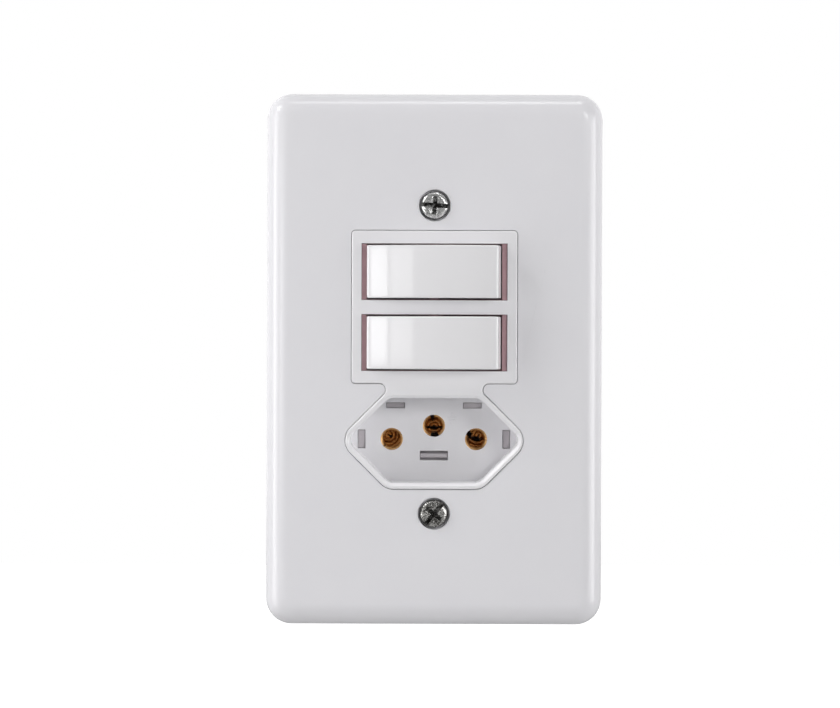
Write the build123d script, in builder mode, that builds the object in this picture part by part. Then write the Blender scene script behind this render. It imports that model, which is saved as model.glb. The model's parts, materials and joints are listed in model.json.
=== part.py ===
"""Switch and socket combination: a wall plate over two rocker switches and a recessed three-pin socket.

Millimetres. X runs right, Y into the wall and Z up. The origin is the plate's centre on the wall plane,
so a height in front of the wall is a distance along -Y, and a negative height lies inside the wall box.
"""

import os
from math import cos, radians, sin, sqrt, tan

from build123d import *

os.makedirs("parts", exist_ok=True)

# Wall plate
plate_side_margin = 8.5
plate_end_margin = 5.25
plate_corner = 5.75
plate_face = 8.0
plate_wall = 2.0
plate_edge_round = 4.9
plate_inner_round = 2.8
cutout_clearance = 0.12

# Cover screws and the plate's screw seats
cover_screw_gap = 0.2
cover_thread_radius = 1.75
cover_head_radius = 3.1
cover_head_height = 2.0
cover_head_side = 0.9
cover_seat_radius = 3.47
cover_seat_depth = 1.3
cover_seat_round = 0.3
cover_boss_radius = 3.6
cover_hole_clearance = 0.3
cover_tip_past_collar = 1.5
thread_clearance = 0.05
slot_width = 1.0
slot_depth = 1.0
cross_length = 4.0
cover_slot_angles = {"upper": -4.0, "lower": 51.0}

# Mounting yoke
yoke_width = 54.0
yoke_end_margin = 10.35
yoke_thickness = 1.2
yoke_corner = 5.0
yoke_collar_radius = 2.7
yoke_collar_depth = 2.0
yoke_window_clearance = 0.35
box_screw_offset = 7.4
box_hole_radius = 2.1

# Module face: a rectangle round the rockers, a neck, and a hexagon round the socket
module_face = 8.2
module_half_width = 18.37
module_top = 28.63
module_bottom = -5.3
module_corner = 0.8
module_edge_round = 0.3
neck_half_width = 10.8
neck_round = 1.4
neck_lower_round = 0.8
hexagon_centre = -18.0
hexagon_half_height = 10.8
hexagon_half_width = 19.72
hexagon_tip_round = 4.0
hexagon_low_round = 4.0
fascia_skin = 1.6
flange_side_margin = 2.28
flange_end_margin = 1.82
flange_corner = 3.0
flange_thickness = 1.2

# Socket recess
recess_depth = 9.0
recess_half_height = 9.45
recess_half_width = 18.7
recess_tip_round = 2.2
recess_low_round = 3.0
recess_lip = 0.6
floor_thickness = 2.0
pin_spacing = 19.0
pin_hole_radius = 2.5
earth_offset = 3.0
latch_clearance = 0.1
latch_recess = 0.35
centre_tongue_height = 0.9
latches = {
    "centre": (0.0, -3.7, 6.3, 2.15),
    "upper_left": (-8.65, 7.6, 4.2, 1.3),
    "upper_right": (8.65, 7.6, 4.2, 1.3),
    "left": (-16.3, 0.0, 1.7, 4.2),
    "right": (16.3, 0.0, 1.7, 4.2),
}

# Rockers
rocker_centres = {"upper": 19.5, "lower": 3.75}
window_end_gap = 1.55
window_side_gap = 0.45
rocker_length = 29.3
rocker_width = 11.7
rocker_crown = 4.5
rocker_arc_rise = 2.2
rocker_wall = 1.5
rocker_skirt = 2.2
rocker_edge_round = 0.35
rocker_end_round = 0.8
rocker_tilt = 5.0
pivot_height = 5.2
stud_radius = 1.2
stud_clearance = 0.05
stud_end_clearance = 0.2

# Switch chassis
chassis_top = 6.4
end_block_drop = 0.7
end_block_clearance = 0.1
chassis_back = -9.5
chassis_wall = 1.6
chassis_end_wall = 1.8
chassis_floor = 1.5
chassis_shelf = 1.0
chassis_shelf_inset = 2.6
well_end_clearance = 0.4
well_side_clearance = 0.3
chassis_clearance = 0.15

# Plungers and their springs
plunger_radius = 1.9
plunger_bore_radius = 2.0
plunger_boss_wall = 1.2
plunger_boss_drop = 1.0
plunger_head_length = 4.0
plunger_head_start = -3.6
plunger_nose_radius = 1.0
plunger_nose_round = 0.8
plunger_gap = 0.15
spring_wire = 0.4
spring_turns = 4.0
spring_clearance = 0.15

# Switch contacts
blade_height = -4.0
blade_lift = 1.0
saddle_half_width = 1.3
blade_length = 20.0
blade_width = 5.0
blade_thickness = 0.6
blade_tilt = 6.0
contact_gap = 0.1
contact_reach = 8.0
rivet_radius = 1.3
rivet_height = 0.7
strip_thickness = 1.0
strip_clearance = 0.15
tab_length = 9.5
tab_width = 7.0
tab_screw_edge = 3.4
rivet_pad_margin = 0.3

# Module base
base_back = -22.0
base_clearance = 0.15
switch_tab_height = -14.0
terminal_pocket_margin = 0.75

# Screws of the terminals and of the module
terminal_thread_radius = 1.45
terminal_head_radius = 2.3
terminal_head_height = 1.6
terminal_shank = 4.0
terminal_tip_gap = 0.3
socket_thread_radius = 1.2
socket_head_radius = 1.6
socket_shank = 3.0
screw_slot_width = 0.6
screw_slot_depth = 0.6
module_screw_side_inset = 1.8
module_screw_end_inset = 3.2
module_thread_radius = 0.95
module_hole_clearance = 0.15
module_head_radius = 1.6
module_head_height = 1.2
module_screw_length = 9.0
module_pilot_extra = 0.6

# Socket contacts
contact_sheet = 0.6
contact_half_width = 3.0
contact_depth = 5.6
contact_back = -18.5
contact_straight = -12.5
contact_waist_height = -7.5
contact_waist = 1.75
contact_mouth = 2.7
contact_mouth_height = -3.6
contact_tab_height = -15.0
contact_tab_length = 4.4
contact_tab_half_width = 3.4
contact_ledge = 0.4
contact_clearance = 0.2
well_back = -20.5

# Worked out from the sizes above
flange_width = 2 * (hexagon_half_width + flange_side_margin)
flange_height = 2 * (module_top + flange_end_margin)
module_screw_x = flange_width / 2 - module_screw_side_inset
module_screw_z = flange_height / 2 - module_screw_end_inset
cover_screw_spacing = flange_height + 2 * (cover_boss_radius + cover_screw_gap)
box_screw_spacing = cover_screw_spacing + 2 * box_screw_offset
yoke_height = box_screw_spacing + 2 * yoke_end_margin
plate_width = yoke_width + 2 * (plate_wall + plate_side_margin)
plate_height = yoke_height + 2 * (plate_wall + plate_end_margin)
plate_back = plate_face - plate_wall
fascia_under_skin = module_face - fascia_skin
recess_floor = module_face - recess_depth
floor_back = recess_floor - floor_thickness
flange_bottom = yoke_thickness
flange_top = flange_bottom + flange_thickness
seat_height = plate_face - cover_seat_depth
hexagon_tip = hexagon_half_width + hexagon_tip_round * (sqrt(2) - 1)
recess_tip = recess_half_width + recess_tip_round * (sqrt(2) - 1)
window_length = rocker_length + 2 * window_end_gap
window_width = rocker_width + 2 * window_side_gap
well_half_length = rocker_length / 2 + well_end_clearance
well_half_width = rocker_width / 2 + well_side_clearance
end_block_length = window_length / 2 - end_block_clearance - well_half_length
end_block_width = window_width - 2 * end_block_clearance
well_floor = chassis_back + chassis_floor
stud_length = well_side_clearance + rocker_wall - stud_end_clearance
chassis_half_width = well_half_length + chassis_end_wall
chassis_z_top = rocker_centres["upper"] + well_half_width + chassis_wall
chassis_z_bottom = rocker_centres["lower"] - well_half_width - chassis_wall
chassis_z_centre = (chassis_z_top + chassis_z_bottom) / 2
chassis_z_size = chassis_z_top - chassis_z_bottom
crown_above_pivot = module_face + rocker_crown - pivot_height
end_above_pivot = crown_above_pivot - rocker_arc_rise
bore_top = end_above_pivot
blade_top = blade_height + blade_thickness / 2
blade_pivot = blade_height - blade_lift
saddle_radius = strip_thickness / 2 + contact_gap
nose_reach = pivot_height - blade_top - plunger_gap
switch_tab_back = switch_tab_height - strip_thickness
contact_tab_back = contact_tab_height - contact_sheet
module_screw_places = [
    (x, z) for z in (module_screw_z, -module_screw_z) for x in (-module_screw_x, module_screw_x)
]
earth_z = hexagon_centre + earth_offset
pin_holes = {
    "line": (-pin_spacing / 2, hexagon_centre),
    "neutral": (pin_spacing / 2, hexagon_centre),
    "earth": (0.0, earth_z),
}


def level(height):
    """The plane parallel to the wall at a height in front of it; its own x and y are X and Z."""
    return Plane.XZ.offset(height)


def hexagon_points(half_height, tip):
    """Corners of the socket's hexagon, whose four slanted sides run at 45 degrees."""
    shoulder = tip - half_height
    return [
        (tip, hexagon_centre),
        (shoulder, hexagon_centre - half_height),
        (-shoulder, hexagon_centre - half_height),
        (-tip, hexagon_centre),
        (-shoulder, hexagon_centre + half_height),
        (shoulder, hexagon_centre + half_height),
    ]


def hexagon_outline(half_height, tip, tip_round, low_round, mode=Mode.ADD):
    """A filled hexagon with rounded corners, for use inside a sketch."""
    radii = [tip_round, low_round, low_round, tip_round, low_round, low_round]
    with BuildLine() as outline:
        FilletPolyline(*hexagon_points(half_height, tip), radius=radii, close=True)
    make_face(outline.edges(), mode=mode)


def module_outline(grow=0.0):
    """The keyhole outline of the module's face, grown all round, for use inside a sketch."""
    tip = hexagon_tip + grow * sqrt(2)
    half_height = hexagon_half_height + grow
    shoulder = tip - half_height
    neck = neck_half_width + grow
    side = module_half_width + grow
    right = [
        (side, module_top + grow, module_corner + grow),
        (side, module_bottom - grow, module_corner + grow),
        (neck, module_bottom - grow, neck_round - grow),
        (neck, hexagon_centre + tip - neck, neck_lower_round - grow),
        (tip, hexagon_centre, hexagon_tip_round + grow),
        (shoulder, hexagon_centre - half_height, hexagon_low_round + grow),
    ]
    corners = right + [(-x, z, r) for x, z, r in reversed(right)]
    with BuildLine() as outline:
        FilletPolyline(*[(x, z) for x, z, r in corners], radius=[r for x, z, r in corners], close=True)
    make_face(outline.edges())


def rocker_plane(centre):
    """The rocker's own section plane: x along the rocker, y outwards, with its left end pressed in."""
    tilt = radians(rocker_tilt)
    return Plane(origin=(0, -pivot_height, centre), x_dir=(cos(tilt), -sin(tilt), 0), z_dir=(0, 0, -1))


def across_rocker(centre, outward):
    """The plane square to the rocker's own outward axis, at a distance out from its pivot."""
    tilt = radians(rocker_tilt)
    origin = (-outward * sin(tilt), -pivot_height - outward * cos(tilt), centre)
    return Plane(origin=origin, x_dir=(0, 0, 1), z_dir=(-sin(tilt), -cos(tilt), 0))


def blade_plane(centre):
    """The contact blade's section plane about its pivot, with the blade's right end tilted inwards."""
    tilt = radians(blade_tilt)
    return Plane(origin=(0, -blade_pivot, centre), x_dir=(cos(tilt), sin(tilt), 0), z_dir=(0, 0, -1))


def slotted_screw(place, seat, facing, head, shank):
    """A pan-head screw square to the wall. `seat` is the height under its head, and `facing` is 1 for a
    head towards the room or -1 for one towards the box. `head` is its radius and height, `shank` its
    radius and length."""
    head_radius, head_height = head
    shank_radius, shank_length = shank
    with BuildPart() as screw:
        with BuildSketch(level(seat)):
            with Locations(place):
                Circle(shank_radius)
        extrude(amount=-facing * shank_length)
        with BuildSketch(level(seat)):
            with Locations(place):
                Circle(head_radius)
        extrude(amount=facing * head_height)
        fillet(faces().sort_by(Axis.Y)[0 if facing > 0 else -1].edges(), head_height / 2)
        with BuildSketch(level(seat + facing * (head_height - screw_slot_depth))):
            with Locations(place):
                Rectangle(2 * head_radius + 1, screw_slot_width)
        extrude(amount=facing * head_height, mode=Mode.SUBTRACT)
    return screw


def save(piece, name):
    """Label a finished piece and write its STEP file."""
    piece.part.label = name
    export_step(piece.part, f"parts/{name}.step")


# Wall plate: a shallow shell with the module's cut-out and two screw seats on bosses
with BuildPart() as plate_cavity:
    with BuildSketch(level(0)):
        RectangleRounded(
            plate_width - 2 * plate_wall, plate_height - 2 * plate_wall, plate_corner - plate_wall
        )
    extrude(amount=plate_back)
    fillet(faces().sort_by(Axis.Y)[0].edges(), plate_inner_round)

with BuildPart() as wall_plate:
    with BuildSketch(level(0)):
        RectangleRounded(plate_width, plate_height, plate_corner)
    extrude(amount=plate_face)
    fillet(faces().sort_by(Axis.Y)[0].edges(), plate_edge_round)
    add(plate_cavity.part, mode=Mode.SUBTRACT)
    with BuildSketch(level(yoke_thickness)):
        with GridLocations(0, cover_screw_spacing, 1, 2):
            Circle(cover_boss_radius)
    extrude(amount=plate_face - yoke_thickness - cover_seat_depth)
    with BuildSketch(level(plate_back)):
        module_outline(cutout_clearance)
    extrude(amount=plate_wall, mode=Mode.SUBTRACT)
    with BuildSketch(level(yoke_thickness)):
        with GridLocations(0, cover_screw_spacing, 1, 2):
            Circle(cover_thread_radius + cover_hole_clearance)
    extrude(amount=plate_face, mode=Mode.SUBTRACT)
    with BuildSketch(level(seat_height)):
        with GridLocations(0, cover_screw_spacing, 1, 2):
            Circle(cover_seat_radius)
    extrude(amount=cover_seat_depth, mode=Mode.SUBTRACT)
    fillet(edges(Select.LAST).group_by(Axis.Y)[0], cover_seat_round)
save(wall_plate, "wall_plate")

# Cover screws: a pan head with a full slot and a shorter cross arm, on a plain shank
cover_shank_tip = -yoke_collar_depth - cover_tip_past_collar
for which, side in (("upper", 1), ("lower", -1)):
    screw_z = side * cover_screw_spacing / 2
    slot_angle = cover_slot_angles[which]
    with BuildPart() as cover_screw:
        with BuildSketch(level(cover_shank_tip)):
            with Locations((0, screw_z)):
                Circle(cover_thread_radius - thread_clearance)
        extrude(amount=seat_height - cover_shank_tip)
        with BuildSketch(level(seat_height)):
            with Locations((0, screw_z)):
                Circle(cover_head_radius)
        extrude(amount=cover_head_height)
        fillet(faces().sort_by(Axis.Y)[0].edges(), cover_head_height - cover_head_side)
        with BuildSketch(level(seat_height + cover_head_height - slot_depth)):
            with Locations((0, screw_z)):
                Rectangle(2 * cover_head_radius + 1, slot_width, rotation=slot_angle)
                Rectangle(slot_width, cross_length, rotation=slot_angle)
        extrude(amount=slot_depth + 1, mode=Mode.SUBTRACT)
    save(cover_screw, f"cover_screw_{which}")

# Mounting yoke: a steel strap with a window for each half of the module and a threaded collar per screw
with BuildPart() as mounting_yoke:
    with BuildSketch(level(0)):
        RectangleRounded(yoke_width, yoke_height, yoke_corner)
        with Locations((0, chassis_z_centre)):
            Rectangle(
                2 * (chassis_half_width + yoke_window_clearance),
                chassis_z_size + 2 * yoke_window_clearance,
                mode=Mode.SUBTRACT,
            )
        hexagon_outline(
            hexagon_half_height + yoke_window_clearance,
            hexagon_tip + yoke_window_clearance * sqrt(2),
            hexagon_tip_round,
            hexagon_low_round,
            mode=Mode.SUBTRACT,
        )
        with GridLocations(0, box_screw_spacing, 1, 2):
            Circle(box_hole_radius, mode=Mode.SUBTRACT)
        with Locations(module_screw_places):
            Circle(module_thread_radius + module_hole_clearance, mode=Mode.SUBTRACT)
    extrude(amount=yoke_thickness)
    with BuildSketch(level(0)):
        with GridLocations(0, cover_screw_spacing, 1, 2):
            Circle(yoke_collar_radius)
    extrude(amount=-yoke_collar_depth)
    with BuildSketch(level(-yoke_collar_depth)):
        with GridLocations(0, cover_screw_spacing, 1, 2):
            Circle(cover_thread_radius)
    extrude(amount=yoke_collar_depth + yoke_thickness, mode=Mode.SUBTRACT)
save(mounting_yoke, "mounting_yoke")

# Module fascia: the keyhole face on a flange, two rocker windows, and the socket's cup and floor
with BuildPart() as module_fascia:
    with BuildSketch(level(flange_bottom)):
        RectangleRounded(flange_width, flange_height, flange_corner)
    extrude(amount=flange_thickness)
    with BuildSketch(level(flange_bottom)):
        module_outline()
    extrude(amount=module_face - flange_bottom)
    fillet(faces().sort_by(Axis.Y)[0].edges(), module_edge_round)
    with BuildSketch(level(floor_back)):
        hexagon_outline(hexagon_half_height, hexagon_tip, hexagon_tip_round, hexagon_low_round)
    extrude(amount=flange_bottom - floor_back)
    with BuildSketch(level(recess_floor)):
        hexagon_outline(recess_half_height, recess_tip, recess_tip_round, recess_low_round)
    extrude(amount=recess_depth, mode=Mode.SUBTRACT)
    with BuildSketch(level(module_face - recess_lip)):
        hexagon_outline(recess_half_height, recess_tip, recess_tip_round, recess_low_round)
    with BuildSketch(level(module_face)):
        hexagon_outline(
            recess_half_height + recess_lip,
            recess_tip + recess_lip * sqrt(2),
            recess_tip_round + recess_lip,
            recess_low_round + recess_lip,
        )
    loft(mode=Mode.SUBTRACT)
    with BuildSketch(level(flange_bottom)):
        with Locations((0, chassis_z_centre)):
            Rectangle(2 * (chassis_half_width + chassis_clearance), chassis_z_size + 2 * chassis_clearance)
    extrude(amount=fascia_under_skin - flange_bottom, mode=Mode.SUBTRACT)
    with BuildSketch(level(fascia_under_skin)):
        for centre in rocker_centres.values():
            with Locations((0, centre)):
                Rectangle(window_length, window_width)
    extrude(amount=fascia_skin, mode=Mode.SUBTRACT)
    with BuildSketch(level(floor_back)):
        with Locations(list(pin_holes.values())):
            Circle(pin_hole_radius)
        for x, z, width, height in latches.values():
            with Locations((x, hexagon_centre + z)):
                Rectangle(width, height)
    extrude(amount=floor_thickness, mode=Mode.SUBTRACT)
    with BuildSketch(level(flange_bottom)):
        with Locations(module_screw_places):
            Circle(module_thread_radius + module_hole_clearance)
    extrude(amount=flange_thickness, mode=Mode.SUBTRACT)
save(module_fascia, "module_fascia")

# Switch chassis: one insulating block with two wells, end shelves, pivot studs and strip slots, and end
# blocks that stand up into the windows, where they show beside the rockers
with BuildPart() as switch_chassis:
    with BuildSketch(level(chassis_back)):
        with Locations((0, chassis_z_centre)):
            Rectangle(2 * chassis_half_width, chassis_z_size)
    extrude(amount=chassis_top - chassis_back)
    for centre in rocker_centres.values():
        with BuildSketch(level(chassis_shelf)):
            with Locations((0, centre)):
                Rectangle(2 * well_half_length, 2 * well_half_width)
        extrude(amount=chassis_top - chassis_shelf, mode=Mode.SUBTRACT)
        with BuildSketch(level(well_floor)):
            with Locations((0, centre)):
                Rectangle(2 * (well_half_length - chassis_shelf_inset), 2 * well_half_width)
        extrude(amount=chassis_shelf - well_floor, mode=Mode.SUBTRACT)
        with BuildSketch(level(chassis_top)):
            for side in (-1, 1):
                with Locations((side * (well_half_length + end_block_length / 2), centre)):
                    Rectangle(end_block_length, end_block_width)
        extrude(amount=module_face - end_block_drop - chassis_top)
        for side in (-1, 1):
            with BuildSketch(Plane.XY.offset(centre + side * well_half_width)):
                with Locations((0, -pivot_height)):
                    Circle(stud_radius)
            extrude(amount=-side * stud_length)
        with BuildSketch(level(chassis_back)):
            with Locations((0, centre), (contact_reach, centre)):
                Rectangle(strip_thickness + 2 * strip_clearance, blade_width + 2 * strip_clearance)
        extrude(amount=chassis_floor, mode=Mode.SUBTRACT)
save(switch_chassis, "switch_chassis")

# Module base: the rear housing, open to the front for the cup and the chassis, with terminal pockets behind
switch_tab_screws = {
    "common": tab_screw_edge - tab_length,
    "fixed": contact_reach + tab_length - tab_screw_edge,
}
with BuildPart() as module_base:
    with BuildSketch(level(base_back)):
        RectangleRounded(flange_width, flange_height, flange_corner)
    extrude(amount=-base_back)
    with BuildSketch(level(chassis_back)):
        with Locations((0, chassis_z_centre)):
            Rectangle(2 * (chassis_half_width + chassis_clearance), chassis_z_size + 2 * chassis_clearance)
    extrude(amount=-chassis_back, mode=Mode.SUBTRACT)
    with BuildSketch(level(floor_back)):
        hexagon_outline(
            hexagon_half_height + base_clearance,
            hexagon_tip + base_clearance * sqrt(2),
            hexagon_tip_round,
            hexagon_low_round,
        )
    extrude(amount=-floor_back, mode=Mode.SUBTRACT)
    with BuildSketch(level(floor_back)):
        for which, (x, z, width, height) in latches.items():
            tongue_height = centre_tongue_height if which == "centre" else height - 2 * latch_clearance
            with Locations((x, hexagon_centre + z)):
                Rectangle(width - 2 * latch_clearance, tongue_height)
    extrude(amount=floor_thickness - latch_recess)
    # Contact wells, the slots for the contacts' tabs and the screw pockets behind them
    for which, (x, z) in pin_holes.items():
        outward = 1 if which == "earth" else -1
        wall_z = z + outward * (contact_half_width + contact_sheet)
        with BuildSketch(level(well_back)):
            with Locations((x, z + outward * (contact_half_width + contact_sheet - contact_depth / 2))):
                Rectangle(
                    2 * (contact_half_width + contact_sheet + contact_clearance),
                    contact_depth + 2 * contact_clearance + contact_sheet,
                )
        extrude(amount=floor_back - well_back, mode=Mode.SUBTRACT)
        with BuildSketch(level(contact_tab_back)):
            with Locations((x, wall_z + outward * (contact_tab_length - contact_sheet) / 2)):
                Rectangle(
                    2 * (contact_tab_half_width + contact_clearance),
                    contact_tab_length + contact_sheet,
                )
        extrude(amount=floor_back - contact_tab_back, mode=Mode.SUBTRACT)
        with BuildSketch(level(base_back)):
            with Locations((x, wall_z + outward * contact_tab_length / 2)):
                Rectangle(
                    2 * (contact_tab_half_width - contact_ledge), contact_tab_length - 2 * contact_ledge
                )
        extrude(amount=contact_tab_back - base_back, mode=Mode.SUBTRACT)
    # Switch terminals: strip slots, screw pockets and blind bores
    for centre in rocker_centres.values():
        with BuildSketch(level(switch_tab_height)):
            with Locations((0, centre), (contact_reach, centre)):
                Rectangle(strip_thickness + 2 * strip_clearance, blade_width + 2 * strip_clearance)
        extrude(amount=chassis_back - switch_tab_height, mode=Mode.SUBTRACT)
        with BuildSketch(level(base_back)):
            with Locations((-tab_length / 2, centre), (contact_reach + tab_length / 2, centre)):
                Rectangle(
                    tab_length + strip_thickness + terminal_pocket_margin, tab_width + terminal_pocket_margin
                )
        extrude(amount=switch_tab_height - base_back, mode=Mode.SUBTRACT)
        with BuildSketch(level(switch_tab_height)):
            with Locations(*[(x, centre) for x in switch_tab_screws.values()]):
                Circle(terminal_thread_radius + thread_clearance)
        extrude(amount=terminal_shank, mode=Mode.SUBTRACT)
    with BuildSketch(level(0)):
        with Locations(module_screw_places):
            Circle(module_thread_radius + thread_clearance)
    extrude(amount=-(module_screw_length + module_pilot_extra), mode=Mode.SUBTRACT)
save(module_base, "module_base")

# Module screws: small pan heads that clamp the fascia's flange, the yoke and the base
for number, place in enumerate(module_screw_places, start=1):
    module_screw = slotted_screw(
        place,
        flange_top,
        1,
        (module_head_radius, module_head_height),
        (module_thread_radius, flange_top + module_screw_length),
    )
    save(module_screw, f"module_screw_{number}")

# The socket's contacts: two sprung leaves either side of the pin, a wall that joins them, and a screw tab
for which, (x, z) in pin_holes.items():
    outward = 1 if which == "earth" else -1
    wall_inner = z + outward * contact_half_width
    wall_outer = wall_inner + outward * contact_sheet
    with BuildPart() as socket_contact:
        with BuildSketch(Plane.XY.offset(wall_outer)):
            for side in (-1, 1):
                with BuildLine():
                    Polyline(
                        (x + side * contact_half_width, -contact_back),
                        (x + side * contact_half_width, -contact_straight),
                        (x + side * contact_waist, -contact_waist_height),
                        (x + side * contact_mouth, -contact_mouth_height),
                    )
                trace(line_width=contact_sheet)
        extrude(amount=-outward * contact_depth)
        with BuildSketch(Plane.XY.offset(wall_inner)):
            with Locations((x, -(contact_back + contact_straight) / 2)):
                Rectangle(2 * contact_half_width, contact_straight - contact_back)
        extrude(amount=outward * contact_sheet)
        with BuildSketch(level(contact_tab_back)):
            with Locations((x, wall_outer + outward * (contact_tab_length - contact_clearance) / 2)):
                Rectangle(2 * contact_tab_half_width, contact_tab_length - contact_clearance)
            with Locations((x, wall_outer + outward * contact_tab_length / 2)):
                Circle(socket_thread_radius + thread_clearance, mode=Mode.SUBTRACT)
        extrude(amount=contact_sheet)
    save(socket_contact, f"socket_contact_{which}")
    terminal_screw = slotted_screw(
        (x, wall_outer + outward * contact_tab_length / 2),
        contact_tab_back,
        -1,
        (socket_head_radius, terminal_head_height),
        (socket_thread_radius, socket_shank),
    )
    save(terminal_screw, f"socket_terminal_screw_{which}")

# Both switches: rocker, plunger and spring inside it, seesaw blade, and the two strips with their screws
blade_slope = tan(radians(blade_tilt))
blade_under = blade_pivot + (blade_lift - blade_thickness / 2) / cos(radians(blade_tilt))
rivet_top = blade_under - (contact_reach + rivet_radius) * blade_slope - contact_gap
for which, centre in rocker_centres.items():
    half = rocker_length / 2
    inner_half = half - rocker_wall
    side_inner = rocker_width / 2 - rocker_wall
    with BuildPart() as rocker:
        with BuildSketch(rocker_plane(centre)):
            with BuildLine():
                Polyline(
                    (-half, end_above_pivot),
                    (-half, -rocker_skirt),
                    (half, -rocker_skirt),
                    (half, end_above_pivot),
                )
                ThreePointArc((half, end_above_pivot), (0, crown_above_pivot), (-half, end_above_pivot))
            make_face()
        extrude(amount=rocker_width / 2, both=True)
        fillet(edges().filter_by(Axis.Z).sort_by(Axis.Y)[:2], rocker_end_round)
        crown = faces().filter_by(GeomType.CYLINDER).sort_by(SortBy.AREA)[-1]
        fillet(crown.edges().filter_by(Axis.Z, reverse=True), rocker_edge_round)
        with BuildSketch(rocker_plane(centre)):
            with BuildLine():
                Polyline(
                    (-inner_half, end_above_pivot - rocker_wall),
                    (-inner_half, -rocker_skirt),
                    (inner_half, -rocker_skirt),
                    (inner_half, end_above_pivot - rocker_wall),
                )
                ThreePointArc(
                    (inner_half, end_above_pivot - rocker_wall),
                    (0, crown_above_pivot - rocker_wall),
                    (-inner_half, end_above_pivot - rocker_wall),
                )
            make_face()
        extrude(amount=side_inner, both=True, mode=Mode.SUBTRACT)
        for side in (-1, 1):
            with BuildSketch(Plane.XY.offset(centre + side * side_inner)):
                with Locations((0, -pivot_height)):
                    Circle(stud_radius + stud_clearance)
            extrude(amount=side * rocker_wall, mode=Mode.SUBTRACT)
        with BuildSketch(across_rocker(centre, -rocker_skirt - plunger_boss_drop)):
            Circle(plunger_bore_radius + plunger_boss_wall)
        extrude(amount=rocker_skirt + plunger_boss_drop + crown_above_pivot - rocker_wall / 2)
        with BuildSketch(across_rocker(centre, -rocker_skirt - plunger_boss_drop)):
            Circle(plunger_bore_radius)
        extrude(amount=rocker_skirt + plunger_boss_drop + bore_top, mode=Mode.SUBTRACT)
    save(rocker, f"rocker_{which}")

    plunger_head_end = plunger_head_start + plunger_head_length
    with BuildPart() as plunger:
        with BuildSketch(across_rocker(centre, plunger_head_start)):
            Circle(plunger_radius)
        extrude(amount=plunger_head_length)
        with BuildSketch(across_rocker(centre, -nose_reach)):
            Circle(plunger_nose_radius)
        extrude(amount=nose_reach + plunger_head_start)
        fillet(faces().sort_by(Axis.Y)[-1].edges(), plunger_nose_round)
    save(plunger, f"plunger_{which}")

    spring_height = bore_top - plunger_head_end - spring_wire
    spring_start = across_rocker(centre, plunger_head_end + spring_wire / 2)
    with BuildPart() as plunger_spring:
        with BuildLine():
            coil = Helix(
                pitch=spring_height / spring_turns,
                height=spring_height,
                radius=plunger_bore_radius - spring_clearance - spring_wire / 2,
                center=spring_start.origin,
                direction=spring_start.z_dir,
            )
        with BuildSketch(Plane(origin=coil @ 0, z_dir=coil % 0)):
            Circle(spring_wire / 2)
        sweep(is_frenet=True)
    save(plunger_spring, f"plunger_spring_{which}")

    with BuildPart() as contact_blade:
        with BuildSketch(blade_plane(centre)):
            with Locations((0, blade_lift)):
                Rectangle(blade_length, blade_thickness)
            with Locations((0, blade_lift / 2)):
                Rectangle(2 * saddle_half_width, blade_lift)
            Circle(saddle_radius, mode=Mode.SUBTRACT)
        extrude(amount=blade_width / 2, both=True)
    save(contact_blade, f"contact_blade_{which}")

    with BuildPart() as common_terminal:
        with BuildSketch(Plane.XY.offset(centre)):
            with Locations((0, -(blade_pivot + switch_tab_back) / 2)):
                Rectangle(strip_thickness, blade_pivot - switch_tab_back)
            with Locations((0, -blade_pivot)):
                Circle(strip_thickness / 2)
        extrude(amount=blade_width / 2, both=True)
        with BuildSketch(level(switch_tab_back)):
            with Locations(((strip_thickness / 2 - tab_length) / 2, centre)):
                Rectangle(tab_length + strip_thickness / 2, tab_width)
            with Locations((switch_tab_screws["common"], centre)):
                Circle(terminal_thread_radius + thread_clearance, mode=Mode.SUBTRACT)
        extrude(amount=strip_thickness)
    save(common_terminal, f"common_terminal_{which}")

    rivet_back = rivet_top - rivet_height
    with BuildPart() as fixed_contact:
        with BuildSketch(level(switch_tab_back)):
            with Locations((contact_reach, centre)):
                Rectangle(strip_thickness, blade_width)
        extrude(amount=rivet_back - switch_tab_back)
        with BuildSketch(level(rivet_back - strip_thickness)):
            with Locations((contact_reach, centre)):
                Rectangle(2 * (rivet_radius + rivet_pad_margin), blade_width)
        extrude(amount=strip_thickness)
        with BuildSketch(level(rivet_back)):
            with Locations((contact_reach, centre)):
                Circle(rivet_radius)
        extrude(amount=rivet_height)
        with BuildSketch(level(switch_tab_back)):
            with Locations((contact_reach + (tab_length - strip_thickness / 2) / 2, centre)):
                Rectangle(tab_length + strip_thickness / 2, tab_width)
            with Locations((switch_tab_screws["fixed"], centre)):
                Circle(terminal_thread_radius + thread_clearance, mode=Mode.SUBTRACT)
        extrude(amount=strip_thickness)
    save(fixed_contact, f"fixed_contact_{which}")

    for terminal, x in switch_tab_screws.items():
        terminal_screw = slotted_screw(
            (x, centre),
            switch_tab_back,
            -1,
            (terminal_head_radius, terminal_head_height),
            (terminal_thread_radius, strip_thickness + terminal_shank - terminal_tip_gap),
        )
        save(terminal_screw, f"{terminal}_terminal_screw_{which}")
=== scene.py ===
import json
import math

import bmesh
import bpy
from mathutils import Matrix, Vector


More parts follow.
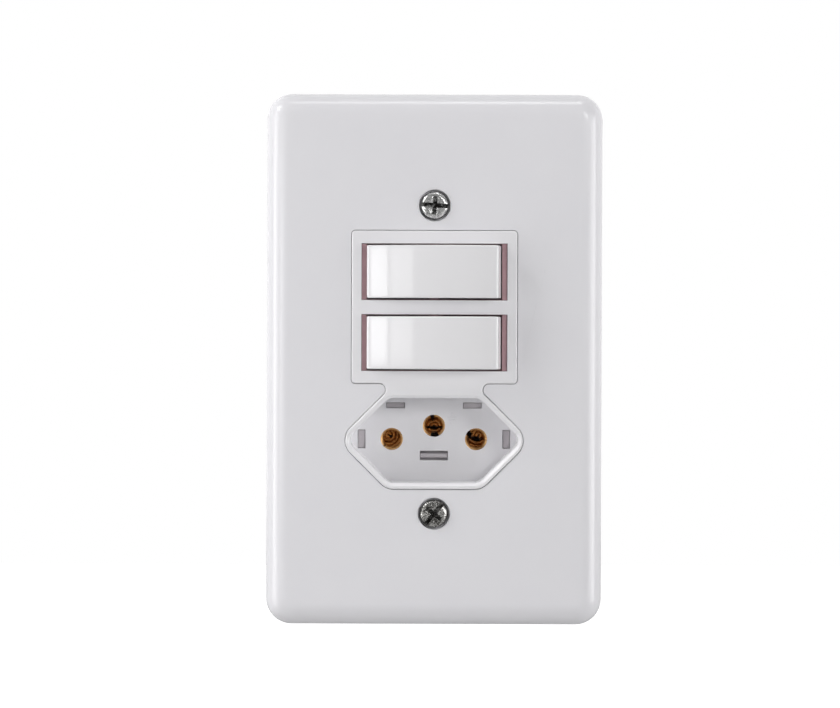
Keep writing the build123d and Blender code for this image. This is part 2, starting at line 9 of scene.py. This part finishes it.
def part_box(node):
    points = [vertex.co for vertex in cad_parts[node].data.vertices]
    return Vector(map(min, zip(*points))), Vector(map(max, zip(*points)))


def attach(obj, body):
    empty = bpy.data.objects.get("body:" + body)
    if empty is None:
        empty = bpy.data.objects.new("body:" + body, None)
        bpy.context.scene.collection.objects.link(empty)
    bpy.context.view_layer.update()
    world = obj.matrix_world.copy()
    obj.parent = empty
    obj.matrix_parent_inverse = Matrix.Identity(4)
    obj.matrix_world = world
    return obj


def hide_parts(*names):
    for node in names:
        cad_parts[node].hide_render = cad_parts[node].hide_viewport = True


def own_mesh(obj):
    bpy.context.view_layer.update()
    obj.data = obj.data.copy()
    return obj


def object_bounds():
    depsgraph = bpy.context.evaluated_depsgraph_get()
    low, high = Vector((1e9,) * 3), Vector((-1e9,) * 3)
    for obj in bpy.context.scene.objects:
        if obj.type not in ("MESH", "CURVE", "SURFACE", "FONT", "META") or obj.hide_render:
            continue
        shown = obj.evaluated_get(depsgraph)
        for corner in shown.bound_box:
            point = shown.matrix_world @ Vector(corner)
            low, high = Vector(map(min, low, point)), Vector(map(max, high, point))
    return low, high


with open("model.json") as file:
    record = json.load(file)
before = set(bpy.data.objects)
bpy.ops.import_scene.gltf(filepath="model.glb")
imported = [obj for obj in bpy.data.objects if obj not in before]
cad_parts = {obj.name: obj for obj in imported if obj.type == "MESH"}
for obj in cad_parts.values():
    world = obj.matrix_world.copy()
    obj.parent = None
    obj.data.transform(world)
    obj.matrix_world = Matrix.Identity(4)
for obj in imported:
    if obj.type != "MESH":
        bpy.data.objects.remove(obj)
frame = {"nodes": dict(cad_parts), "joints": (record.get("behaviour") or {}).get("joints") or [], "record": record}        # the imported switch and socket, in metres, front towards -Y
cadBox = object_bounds()
mm = 0.001
scene = bpy.context.scene
scene.view_settings.view_transform = "Standard"


# Shader sums are written as plain Python on sockets
class Wire:
    def __init__(self, finish, socket):
        self.finish = finish
        self.socket = socket

    def sum(self, operation, *values):
        return self.finish.node("ShaderNodeMath", {"operation": operation}, dict(enumerate(values)))

    def __add__(self, other):
        return self.sum("ADD", self, other)

    def __radd__(self, other):
        return self.sum("ADD", other, self)

    def __mul__(self, other):
        return self.sum("MULTIPLY", self, other)

    def __rmul__(self, other):
        return self.sum("MULTIPLY", other, self)


class Finish:  # one material and its nodes
    def __init__(self, name, slot=None):
        self.slot = slot
        self.material = bpy.data.materials.new(name)
        self.material.use_nodes = True
        self.tree = self.material.node_tree
        self.shader = self.tree.nodes["Principled BSDF"]
        self.place = self.node("ShaderNodeTexCoord", out="Object")

    def node(self, kind, settings=None, values=None, out=0):
        made = self.tree.nodes.new(kind)
        for name, value in (settings or {}).items():
            setattr(made, name, value)
        for name, value in (values or {}).items():
            self.feed(made.inputs[name], value)
        return Wire(self, made.outputs[out])

    def feed(self, socket, value):
        if isinstance(value, Wire):
            self.tree.links.new(value.socket, socket)
        else:
            socket.default_value = value

    def set(self, **values):
        for name, value in values.items():
            self.feed(self.shader.inputs[socketNames[name]], value)

    def noise(self, size, detail=3.0, roughness=0.55, warp=0.0, stretch=(1, 1, 1)):
        # size is the grain of the pattern in millimetres
        where = self.node("ShaderNodeMapping", values={"Vector": self.place, "Scale": stretch})
        scale = {"Vector": where, "Scale": 1 / (size * mm), "Detail": detail, "Roughness": roughness}
        return self.node("ShaderNodeTexNoise", values={**scale, "Distortion": warp})

    def spread(self, value, low, high, toLow=0.0, toHigh=1.0):
        ends = {"From Min": low, "From Max": high, "To Min": toLow, "To Max": toHigh}
        return self.node("ShaderNodeMapRange", values={"Value": value, **ends})

    def mix(self, factor, first, second):
        colours = {"Factor": factor, 6: first, 7: second}
        return self.node("ShaderNodeMix", {"data_type": "RGBA"}, colours, out=2)

    def bump(self, height, depth, under=None):
        # depth is the relief in millimetres
        values = {"Height": height, "Distance": depth * mm, "Strength": 1.0}
        if under is not None:
            values["Normal"] = under
        return self.node("ShaderNodeBump", values=values)


socketNames = {
    "colour": "Base Color",
    "roughness": "Roughness",
    "metallic": "Metallic",
    "normal": "Normal",
    "ior": "IOR",
    "glow": "Emission Color",
    "glowStrength": "Emission Strength",
}


def colour(red, green, blue):
    # a screen colour of 0 to 255, as the shader takes it
    def linear(value):
        share = value / 255
        return share / 12.92 if share <= 0.04045 else ((share + 0.055) / 1.055) ** 2.4

    return (linear(red), linear(green), linear(blue), 1.0)


# Finishes: colours of 0 to 255, pattern sizes and reliefs in millimetres
middle = (0.3, 0.7)  # the part of a noise that its soft range is stretched from

glossWhite = {
    "face": (238, 237, 240),
    "shade": (235, 234, 238),
    "cloudSize": 9.0,
    "gloss": (0.2, 0.27),
    "glossSize": 3.0,
    "orangePeel": 0.0016,
    "peelSize": 0.9,
    "sink": 0.012,
    "sinkSize": 16.0,
    "ior": 1.5,
}


def makeGlossWhite(name, options):
    finish = Finish(name, "white_gloss_plastic")
    cloud = finish.noise(options["cloudSize"], detail=2.0)
    finish.set(
        colour=finish.mix(cloud, colour(*options["face"]), colour(*options["shade"])),
        roughness=finish.spread(finish.noise(options["glossSize"]), *middle, *options["gloss"]),
        ior=options["ior"],
    )
    sink = finish.bump(finish.noise(options["sinkSize"], detail=1.0), options["sink"])
    finish.set(normal=finish.bump(finish.noise(options["peelSize"], detail=2.0), options["orangePeel"], sink))
    return finish


redBrown = {
    "dark": (184, 147, 152),
    "light": (198, 163, 168),
    "cloudSize": 2.5,
    "rough": (0.38, 0.55),
    "grain": 0.004,
    "grainSize": 0.5,
}


def makeRedBrown():
    finish = Finish("redBrownPlastic", "red_brown_plastic")
    cloud = finish.noise(redBrown["cloudSize"], detail=4.0)
    finish.set(
        colour=finish.mix(cloud, colour(*redBrown["dark"]), colour(*redBrown["light"])),
        roughness=finish.spread(cloud, *middle, *redBrown["rough"]),
        normal=finish.bump(finish.noise(redBrown["grainSize"]), redBrown["grain"]),
    )
    return finish


baseGrey = {
    "dark": (190, 184, 188),
    "light": (202, 197, 200),
    "rough": (0.4, 0.55),
    "flow": 0.01,
    "flowSize": 6.0,
    "spark": 0.008,
    "sparkSize": 0.35,
}


def makeBaseGrey():
    finish = Finish("baseGreyPlastic", "pale_grey_plastic")
    flow = finish.noise(baseGrey["flowSize"], warp=0.6, stretch=(1, 1, 0.3))
    finish.set(
        colour=finish.mix(flow, colour(*baseGrey["dark"]), colour(*baseGrey["light"])),
        roughness=finish.spread(flow, *middle, *baseGrey["rough"]),
    )
    under = finish.bump(flow, baseGrey["flow"])
    spark = finish.noise(baseGrey["sparkSize"], detail=2.0)
    finish.set(normal=finish.bump(spark, baseGrey["spark"], under))
    return finish


yokeSteel = {
    "bright": (186, 188, 190),
    "dull": (150, 152, 156),
    "rough": (0.25, 0.5),
    "spangleSize": 7.0,
    "spangleInColour": 0.5,  # share of the spangle against the clouds
    "spangleInGloss": 0.4,
    "cloudSize": 14.0,
    "lines": 0.004,
    "lineSize": 0.35,
}


def makeYokeSteel():
    finish = Finish("yokeSteel", "plated_steel")
    grain = {"Vector": finish.place, "Scale": 1 / (yokeSteel["spangleSize"] * mm)}
    spangle = finish.node("ShaderNodeTexVoronoi", values=grain, out="Color")
    tone = finish.node("ShaderNodeRGBToBW", values={"Color": spangle})
    lines = finish.noise(yokeSteel["lineSize"], stretch=(1, 1, 0.02))
    cloud = finish.noise(yokeSteel["cloudSize"], detail=4.0)

    def blend(share):
        return share * tone + (1 - share) * cloud

    inColour, inGloss = blend(yokeSteel["spangleInColour"]), blend(yokeSteel["spangleInGloss"])
    finish.set(
        colour=finish.mix(inColour, colour(*yokeSteel["dull"]), colour(*yokeSteel["bright"])),
        roughness=finish.spread(inGloss, 0.2, 0.8, *yokeSteel["rough"]),
        metallic=1.0,
        normal=finish.bump(lines, yokeSteel["lines"]),
    )
    return finish


screwZinc = {
    "bright": (236, 236, 235),
    "dull": (128, 128, 127),
    "worn": (188, 187, 184),
    "pitted": (52, 51, 49),
    "paintedSlotShade": (26, 25, 24),
    "rough": (0.12, 0.34),
    "pitSize": 0.32,
    "pit": 0.045,
    "pitLeast": 0.35,  # share of the pits' depth on unworn plating
    "scuffSize": 1.3,
    "scuff": 0.35,
    "brightFrom": 0.58,
    "brightTo": 0.74,
    "brightLost": 0.03,  # how much later bright plating starts when it is worn
    "slotShade": (0.65, 0.15),  # how far out of its slot the painted shade fades, from none to full
    "paintedShadePatchSize": 0.9,
    "paintedShadeLeast": 0.45,
    "paintedShadeRough": 0.3,
}


def makeScrewZinc(name, wear, slotFloor=None):
    # wear of 0 is bright plating and 1 is dark, pitted plating; slotFloor is the drive slot's height, below
    # which the slot gets painted shade
    finish = Finish(name, "plated_screw")
    pits = finish.noise(screwZinc["pitSize"], detail=5.0, roughness=0.7, warp=0.9)
    scuffed = pits + screwZinc["scuff"] * finish.noise(screwZinc["scuffSize"])
    brightFrom = screwZinc["brightFrom"] + screwZinc["brightLost"] * wear
    bright = finish.spread(scuffed, brightFrom, screwZinc["brightTo"])
    low, high = ("pitted", "worn") if wear > 0.5 else ("dull", "bright")
    plating = finish.mix(bright, colour(*screwZinc[low]), colour(*screwZinc[high]))
    glossy, matt = screwZinc["rough"]
    roughness = finish.spread(bright, 0.0, 1.0, matt, glossy)
    if slotFloor is not None:
        # painted shade: below slotFloor the plating's colour darkens in patches towards near-black and gets
        # rougher, standing in for the shade inside the drive slot
        depth = finish.node("ShaderNodeSeparateXYZ", values={"Vector": finish.place}, out="Y")
        clean, full = (-(slotFloor + rise) * mm for rise in screwZinc["slotShade"])
        patches = finish.spread(finish.noise(screwZinc["paintedShadePatchSize"]), 0.3, 0.55, screwZinc["paintedShadeLeast"], 1.0)
        paintedSlotShade = finish.spread(depth, clean, full) * patches
        plating = finish.mix(paintedSlotShade, plating, colour(*screwZinc["paintedSlotShade"]))
        roughness = roughness + screwZinc["paintedShadeRough"] * paintedSlotShade
    finish.set(
        colour=plating,
        roughness=roughness,
        metallic=1.0,
        normal=finish.bump(pits, screwZinc["pit"] * (screwZinc["pitLeast"] + wear)),
    )
    return finish


brass = {
    "bright": (232, 192, 134),
    "tarnish": (138, 90, 52),
    "cloudSize": 1.8,
    "rough": (0.24, 0.46),
    "drawn": 0.006,
    "drawnSize": 0.2,
}


def makeBrass(name):
    finish = Finish(name, "brass")
    cloud = finish.noise(brass["cloudSize"], detail=4.0, warp=0.5)
    drawn = finish.noise(brass["drawnSize"], stretch=(1, 0.08, 1))
    finish.set(
        colour=finish.mix(cloud, colour(*brass["tarnish"]), colour(*brass["bright"])),
        roughness=finish.spread(cloud, *middle, *brass["rough"]),
        metallic=1.0,
        normal=finish.bump(drawn, brass["drawn"]),
    )
    return finish


hiddenFinishes = {  # of the pieces inside the rockers
    "springSteel": {
        "slot": "spring_steel",
        "dark": (120, 120, 122),
        "light": (180, 180, 184),
        "cloudSize": 0.8,
        "rough": (0.22, 0.36),
        "metallic": 1.0,
    },
    "plungerPlastic": {
        "slot": "plunger_plastic",
        "dark": (212, 208, 196),
        "light": (224, 221, 211),
        "cloudSize": 1.5,
        "rough": (0.35, 0.5),
        "metallic": 0.0,
    },
}


def makeHidden(name):
    options = hiddenFinishes[name]
    finish = Finish(name, options["slot"])
    cloud = finish.noise(options["cloudSize"])
    finish.set(
        colour=finish.mix(cloud, colour(*options["dark"]), colour(*options["light"])),
        roughness=finish.spread(cloud, *middle, *options["rough"]),
        metallic=options["metallic"],
    )
    return finish


moduleWhite = {"face": (243, 242, 244), "shade": (240, 239, 242), "sink": 0.006}
rockerWhite = {"face": (243, 242, 244), "shade": (241, 240, 242), "gloss": (0.07, 0.1), "sink": 0.002}

finishes = {
    "plate": makeGlossWhite("plateGlossWhite", glossWhite),
    "module": makeGlossWhite("moduleGlossWhite", {**glossWhite, **moduleWhite}),
    "rocker": makeGlossWhite("rockerGlossWhite", {**glossWhite, **rockerWhite}),
    "redBrown": makeRedBrown(),
    "baseGrey": makeBaseGrey(),
    "yokeSteel": makeYokeSteel(),
    "plainScrew": makeScrewZinc("plainScrew", 0.2),
    "brightScrew": makeScrewZinc("brightScrew", 0.15, 7.7),
    "pittedScrew": makeScrewZinc("pittedScrew", 1.0, 7.7),
    "brass": makeBrass("brass"),
    "springSteel": makeHidden("springSteel"),
    "plungerPlastic": makeHidden("plungerPlastic"),
}
print("finishes made:", len(finishes))


# Carried-over nodes: a merged copy with softened edges stands for each CAD node
copies = {
    "mergeWithin": 0.0005,  # millimetres between points that become one
    "flatWithin": 0.4,  # degrees between triangles that become one face
    "sharpTurn": 40.0,  # degrees at which an edge is shaded sharp, and softened
    "edgeSteps": 2,
}


def bodyOf(node):
    for body, members in frame["record"]["behaviour"]["bodies"].items():
        if node in members:
            return body


def refine(node, finish, edge):
    # edge is the width of the softened edge in millimetres
    copy = bpy.data.objects.new(f"{node}_finished", frame["nodes"][node].data.copy())
    scene.collection.objects.link(copy)
    turn = math.radians(copies["sharpTurn"])
    work = bmesh.new()
    work.from_mesh(copy.data)
    bmesh.ops.remove_doubles(work, verts=work.verts, dist=copies["mergeWithin"] * mm)
    flat = math.radians(copies["flatWithin"])
    bmesh.ops.dissolve_limit(work, angle_limit=flat, verts=work.verts, edges=work.edges)
    for face in work.faces:
        face.smooth = True
    work.to_mesh(copy.data)
    work.free()
    copy.data.set_sharp_from_angle(angle=turn)
    copy.data.materials.clear()
    copy.data.materials.append(finish.material)
    if edge:
        bevel = copy.modifiers.new("softEdges", "BEVEL")
        bevel.width = edge * mm
        bevel.segments = copies["edgeSteps"]
        bevel.limit_method = "ANGLE"
        bevel.angle_limit = turn
        bevel.harden_normals = True
    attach(copy, bodyOf(node))
    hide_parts(node)
    return copy


softEdges = {  # finish and softened edge of each carried-over node
    "wall_plate": ("plate", 0.12),
    "module_fascia": ("module", 0.12),
    "switch_chassis": ("redBrown", 0.15),
    "module_base": ("baseGrey", 0.3),
    "mounting_yoke": ("yokeSteel", 0.12),
    "cover_screw_upper": ("brightScrew", 0.1),
    "cover_screw_lower": ("pittedScrew", 0.1),
}
for which in ("upper", "lower"):
    softEdges[f"rocker_{which}"] = ("rocker", 0.1)
    softEdges[f"plunger_{which}"] = ("plungerPlastic", 0.05)
    softEdges[f"plunger_spring_{which}"] = ("springSteel", 0)
    softEdges[f"contact_blade_{which}"] = ("brass", 0.08)
    softEdges[f"common_terminal_{which}"] = ("brass", 0.08)
    softEdges[f"fixed_contact_{which}"] = ("brass", 0.08)
    softEdges[f"common_terminal_screw_{which}"] = ("plainScrew", 0.08)
    softEdges[f"fixed_terminal_screw_{which}"] = ("plainScrew", 0.08)
for pin in ("line", "neutral", "earth"):
    softEdges[f"socket_contact_{pin}"] = ("brass", 0.08)
    softEdges[f"socket_terminal_screw_{pin}"] = ("plainScrew", 0.06)
for number in (1, 2, 3, 4):
    softEdges[f"module_screw_{number}"] = ("plainScrew", 0.06)

refined = {node: refine(node, finishes[name], edge) for node, (name, edge) in softEdges.items()}
print("nodes refined:", len(refined))


def pressSpring(which):
    # works out the spring's length and how much of it stays when its plunger slides fully outwards, and gives
    # the spring its own mesh; the spring itself is not shortened
    node = f"plunger_spring_{which}"
    slide = next(joint for joint in frame["joints"] if joint["name"] == f"plunger_{which}_slide")
    outward = Vector(slide["axis"])
    low, high = (Vector(corner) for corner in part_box(node))
    size = high - low
    length = (size.y - size.z * abs(outward.x)) / abs(outward.y)
    keep = 1 - slide["range_m"][1] / length
    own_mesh(refined[node])
    print("spring", which, "length", round(length / mm, 2), "mm, kept", round(keep, 3))


for which in ("upper", "lower"):
    pressSpring(which)


# New pieces: the rockers' round ends, the contacts' rolled spring leaves and the raised earth sign
def addPiece(name, work, finish, body="housing"):
    bmesh.ops.recalc_face_normals(work, faces=work.faces)
    for face in work.faces:
        face.smooth = True
    mesh = bpy.data.meshes.new(name)
    work.to_mesh(mesh)
    work.free()
    mesh.set_sharp_from_angle(angle=math.radians(copies["sharpTurn"]))
    mesh.materials.append(finish.material)
    piece = bpy.data.objects.new(name, mesh)
    scene.collection.objects.link(piece)
    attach(piece, body)
    return piece


rockerEnds = {  # lengths in millimetres, angles in degrees from the rocker's own length
    "radius": 14.95,
    "wall": 0.7,
    "halfWidth": 5.8,
    "low": -8.0,
    "high": 16.5,
    "steps": 12,
}


def makeRockerEnds(which):
    # a round face about the hinge, so that the gap to the chassis stays narrow as the rocker tilts
    tilt = next(joint for joint in frame["joints"] if joint["name"] == f"rocker_{which}_tilt")
    lean = Matrix.Rotation(-math.radians(tilt["range_deg"][1] / 2), 3, "Z")
    hinge = Vector(tilt["pos_m"])
    outer, wide = rockerEnds["radius"], rockerEnds["halfWidth"]
    inner = outer - rockerEnds["wall"]
    low, high = math.radians(rockerEnds["low"]), math.radians(rockerEnds["high"])
    work = bmesh.new()
    for side in (-1, 1):
        along = lean @ Vector((side * math.cos(low), -math.sin(low), 0))
        section = [(outer, -wide), (outer, wide), (inner, wide), (inner, -wide)]
        corners = [work.verts.new(hinge + (along * reach + Vector((0, 0, z))) * mm) for reach, z in section]
        cap = work.faces.new(corners)
        turn = {"axis": (0, 0, 1), "angle": -side * (high - low), "steps": rockerEnds["steps"]}
        bmesh.ops.spin(work, geom=corners + cap.edges[:] + [cap], cent=hinge, **turn)
    addPiece(f"rocker_ends_{which}", work, finishes["rocker"], body=bodyOf(f"rocker_{which}"))


for which in ("upper", "lower"):
    makeRockerEnds(which)

leaves = {  # millimetres
    "sheet": 0.24,
    "steps": 24,
    # each form's section, as a step out from its radius and a height in front of the wall
    "lip": [(0.1, -2.85), (-0.15, -2.95), (-0.45, -3.3), (-0.75, -4.1), (-0.85, -7.8)],
    "ridge": [(0.46, -3.95), (0.26, -3.45), (0.0, -3.1), (-0.25, -3.3), (-0.42, -3.9), (-0.45, -5.5)],
    # place of each pin's hole, then each leaf's form, radius, shift, and start and sweep in degrees
    "pins": {
        "line": (
            (-9.5, -18.0),
            [
                ("lip", 2.5, (0.0, 0.0), 30, 190),
                ("lip", 2.5, (0.0, 0.0), 228, 158),
                ("ridge", 0.52, (-0.75, 0.85), 0, 300),
                ("ridge", 1.25, (-0.75, 0.85), -145, 200),
                ("ridge", 2.05, (-0.75, 0.85), -128, 160),
                ("ridge", 2.8, (-0.75, 0.85), -108, 100),
            ],
        ),
        "neutral": (
            (9.5, -18.0),
            [
                ("lip", 2.5, (0.0, 0.0), 160, 190),
                ("lip", 2.5, (0.0, 0.0), -5, 132),
                ("ridge", 0.52, (0.6, 0.75), -70, 280),
                ("ridge", 1.3, (0.6, 0.75), 60, 130),
                ("ridge", 2.5, (0.4, 1.6), -140, 105),
                ("ridge", 3.3, (0.4, 1.6), -122, 80),
            ],
        ),
        "earth": (
            (0.0, -15.0),
            [
                ("lip", 2.5, (0.0, 0.0), 112, 140),
                ("lip", 2.5, (0.0, 0.0), -62, 150),
                ("ridge", 1.35, (0.1, -0.25), 5, 170),
                ("ridge", 0.6, (0.1, -0.25), 10, 160),
                ("ridge", 1.5, (0.1, 0.2), 215, 110),
            ],
        ),
    },
}


def makeLeaves(pin, place, arcs):
    work = bmesh.new()
    for form, radius, shift, start, sweep in arcs:
        angle = math.radians(start)
        outward = Vector((math.cos(angle), 0, math.sin(angle)))
        centre = Vector((place[0] + shift[0], 0, place[1] + shift[1]))
        chain = []
        for step, height in leaves[form]:
            spot = centre + outward * (radius + step) + Vector((0, -height, 0))
            chain.append(work.verts.new(spot * mm))
        edges = [work.edges.new(pair) for pair in zip(chain, chain[1:])]
        turn = {"axis": (0, -1, 0), "angle": math.radians(sweep), "steps": leaves["steps"]}
        bmesh.ops.spin(work, geom=chain + edges, cent=centre * mm, **turn)
    bmesh.ops.recalc_face_normals(work, faces=work.faces)
    bmesh.ops.solidify(work, geom=work.faces[:], thickness=leaves["sheet"] * mm)
    addPiece(f"socket_leaves_{pin}", work, finishes["brass"])


for pin, (place, arcs) in leaves["pins"].items():
    makeLeaves(pin, place, arcs)

earthSign = {  # millimetres
    "place": (4.05, -13.35),
    "floor": -0.8,  # height of the socket's floor in front of the wall
    "relief": 0.2,
    "edge": 0.06,
    # middle, width and height of each stroke
    "strokes": [(0, 0.85, 0.24, 1.0), (0, 0.35, 2.1, 0.24), (0, -0.35, 1.5, 0.24), (0, -1.05, 0.9, 0.24)],
}


def makeEarthSign():
    work = bmesh.new()
    right, up = earthSign["place"]
    for x, z, width, height in earthSign["strokes"]:
        cube = bmesh.ops.create_cube(work, size=1.0)["verts"]
        bmesh.ops.scale(work, verts=cube, vec=Vector((width, 2 * earthSign["relief"], height)) * mm)
        middleOfStroke = Vector((right + x, -earthSign["floor"], up + z)) * mm
        bmesh.ops.translate(work, verts=cube, vec=middleOfStroke)
    edge = {"offset": earthSign["edge"] * mm, "segments": 2, "profile": 0.5, "affect": "EDGES"}
    bmesh.ops.bevel(work, geom=work.edges[:], material=-1, **edge)
    addPiece("earth_sign", work, finishes["module"])


makeEarthSign()
print("new pieces made")


# Studio: floor, world, lamps and camera
studio = {  # lengths in metres
    "floorDrop": 0.25,
    "floorSize": 6.0,
    "floorColour": (176, 176, 176),
    "floorRough": 0.8,
    "floorMirrored": 0.2,  # strength of the floor in a reflection
    "frontLevel": 0.065,  # light of the room in front of the wall
    "frontGloss": 0.4,  # the same room in a reflection
    "behindLevel": 1.0,  # backdrop as the camera sees it
    "behindFill": 0.55,  # light that the backdrop throws
    "blend": (-0.1, 0.35),  # where the room turns into the backdrop, on the way backwards
}

camera = {  # fitted to the photograph's landmarks, whose frame is 840 pixels wide
    "x": -0.00205,
    "z": 0.0061,
    "distance": 0.6,
    "yaw": -0.0019,
    "pitch": -0.0082,
    "roll": 0.0033,
    "focalPixels": 2665.5,
    "frameWidth": 840,
    "sensor": 36.0,
    "near": 0.01,
}

lamps = {  # place and size in metres, power in watts; all point at the middle of the plate
    "keyUpperRight": ((0.56, -0.93, 0.36), (0.3, 0.3), 2.5),
    "rightFill": ((0.8, -0.8, 0.1), (0.3, 0.4), 0.45),
    "rightLow": ((1.05, -0.45, 0.0), (0.6, 0.46), 3.5),
    "rightRim": ((1.1, -0.24, -0.12), (0.3, 0.9), 1.7),
    "rimUpperLeft": ((-0.862, -0.239, 0.723), (0.26, 0.26), 4.0),
    "rimAbove": ((0.1, -0.28, 1.1), (0.5, 0.2), 2.0),
    "leftLow": ((-1.12, -0.24, 0.0), (0.26, 0.4), 1.4),
    "leftNear": ((-0.45, -0.17, 0.0), (0.2, 0.5), 0.85),
    "leftBand": ((-0.735, -0.89, 0.03), (0.23, 0.22), 0.86),
    "leftWide": ((-0.5, -1.03, 0.03), (0.24, 0.22), 0.4),
}


def makeCamera():
    data = bpy.data.cameras.new("camera")
    data.sensor_width = camera["sensor"]
    data.lens = camera["focalPixels"] * camera["sensor"] / camera["frameWidth"]
    data.clip_start = camera["near"]
    eye = bpy.data.objects.new("camera", data)
    yaw, pitch, roll = camera["yaw"], camera["pitch"], camera["roll"]
    ahead = Vector((math.sin(yaw) * math.cos(pitch), math.cos(yaw) * math.cos(pitch), math.sin(pitch)))
    right = Vector((math.cos(yaw), -math.sin(yaw), 0))
    up = right.cross(ahead)
    turned = Matrix.Rotation(-roll, 3, ahead)
    right = turned @ right
    up = turned @ up
    facing = Matrix((right, up, -ahead)).transposed().to_4x4()
    eye.matrix_world = Matrix.Translation((camera["x"], -camera["distance"], camera["z"])) @ facing
    scene.collection.objects.link(eye)
    scene.camera = eye


def makeLamp(name, place, size, power):
    data = bpy.data.lights.new(name, "AREA")
    data.shape = "RECTANGLE"
    data.size, data.size_y = size
    data.energy = power
    lamp = bpy.data.objects.new(name, data)
    lamp.location = place
    lamp.visible_camera = False
    lamp.rotation_euler = (-Vector(place)).to_track_quat("-Z", "Y").to_euler()
    scene.collection.objects.link(lamp)


def makeWorld():
    # a dim studio in front of the wall plane, a white backdrop behind it
    world = bpy.data.worlds.new("studioWorld")
    world.use_nodes = True
    scene.world = world
    nodes = world.node_tree.nodes
    links = world.node_tree.links
    nodes.clear()

    def add(kind, operation=None, **values):
        made = nodes.new(kind)
        if operation:
            made.operation = operation
        for number, value in values.items():
            socket = made.inputs[int(number[1:])]
            if hasattr(value, "is_output"):
                links.new(value, socket)
            else:
                socket.default_value = value
        return made.outputs[0]

    rays = nodes.new("ShaderNodeLightPath").outputs
    where = nodes.new("ShaderNodeTexCoord").outputs["Generated"]
    apart = nodes.new("ShaderNodeSeparateXYZ")
    links.new(where, apart.inputs[0])
    start, end = studio["blend"]
    behind = add("ShaderNodeMapRange", v0=apart.outputs["Y"], v1=start, v2=end, v3=0.0, v4=1.0)
    seen = add("ShaderNodeMath", "MAXIMUM", v0=rays["Is Camera Ray"], v1=rays["Is Transmission Ray"])
    mirrored = add("ShaderNodeMath", "MULTIPLY", v0=behind, v1=rays["Is Glossy Ray"])
    white = add("ShaderNodeMath", "MAXIMUM", v0=seen, v1=mirrored)
    dim, shiny = studio["frontLevel"], studio["frontGloss"]
    front = add("ShaderNodeMapRange", v0=rays["Is Glossy Ray"], v1=0.0, v2=1.0, v3=dim, v4=shiny)
    level = add("ShaderNodeMapRange", v0=behind, v1=0.0, v2=1.0, v3=front, v4=studio["behindFill"])
    room = add("ShaderNodeBackground", v0=(1, 1, 1, 1), v1=level)
    backdrop = add("ShaderNodeBackground", v0=(1, 1, 1, 1), v1=studio["behindLevel"])
    either = add("ShaderNodeMixShader", v0=white, v1=room, v2=backdrop)
    output = nodes.new("ShaderNodeOutputWorld")
    links.new(either, output.inputs["Surface"])


def makeFloor():
    work = bmesh.new()
    bmesh.ops.create_grid(work, x_segments=1, y_segments=1, size=studio["floorSize"] / 2)
    bmesh.ops.translate(work, verts=work.verts, vec=(0, 0, cadBox[0][2] - studio["floorDrop"]))
    mesh = bpy.data.meshes.new("floor")
    work.to_mesh(mesh)
    work.free()
    floor = bpy.data.objects.new("floor", mesh)
    scene.collection.objects.link(floor)
    finish = Finish("paleFloor")
    seen = finish.node("ShaderNodeLightPath", out="Is Camera Ray")
    mirrored = finish.node("ShaderNodeLightPath", out="Is Glossy Ray")
    finish.set(
        colour=colour(*studio["floorColour"]),
        roughness=studio["floorRough"],
        glow=(1, 1, 1, 1),
        glowStrength=seen + mirrored * studio["floorMirrored"],
    )
    mesh.materials.append(finish.material)


makeCamera()
for name, (place, size, power) in lamps.items():
    makeLamp(name, place, size, power)
makeWorld()
makeFloor()
print("studio made")
